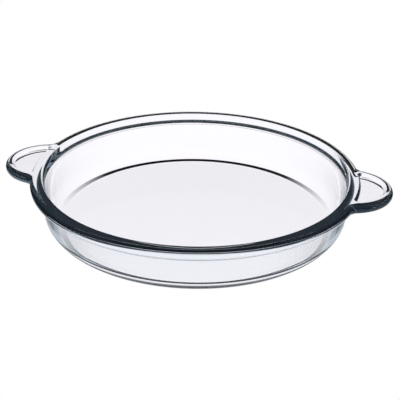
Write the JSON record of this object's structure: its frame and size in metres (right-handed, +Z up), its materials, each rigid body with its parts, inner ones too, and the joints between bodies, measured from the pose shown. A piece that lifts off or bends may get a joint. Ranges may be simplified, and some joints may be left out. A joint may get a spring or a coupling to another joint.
{
  "type": "pie dish",
  "caption": "Round clear glass pie dish with a sloping wall, a thick rounded rim and two flat tab handles, for baking and serving.",
  "frame": {"origin": "centre of the base's underside, where the dish stands", "axes": "+X through the handle_right handle's tip, +Z up along the dish's axis"},
  "size_m": [0.3088, 0.26, 0.0424],
  "materials": {
    "glass": "gloss"
  },
  "bodies": {
    "root": {"base": "glass", "heel": "glass", "wall": "glass", "rim": "glass", "handle_right": "glass", "handle_left": "glass"}
  },
  "joints": []
}
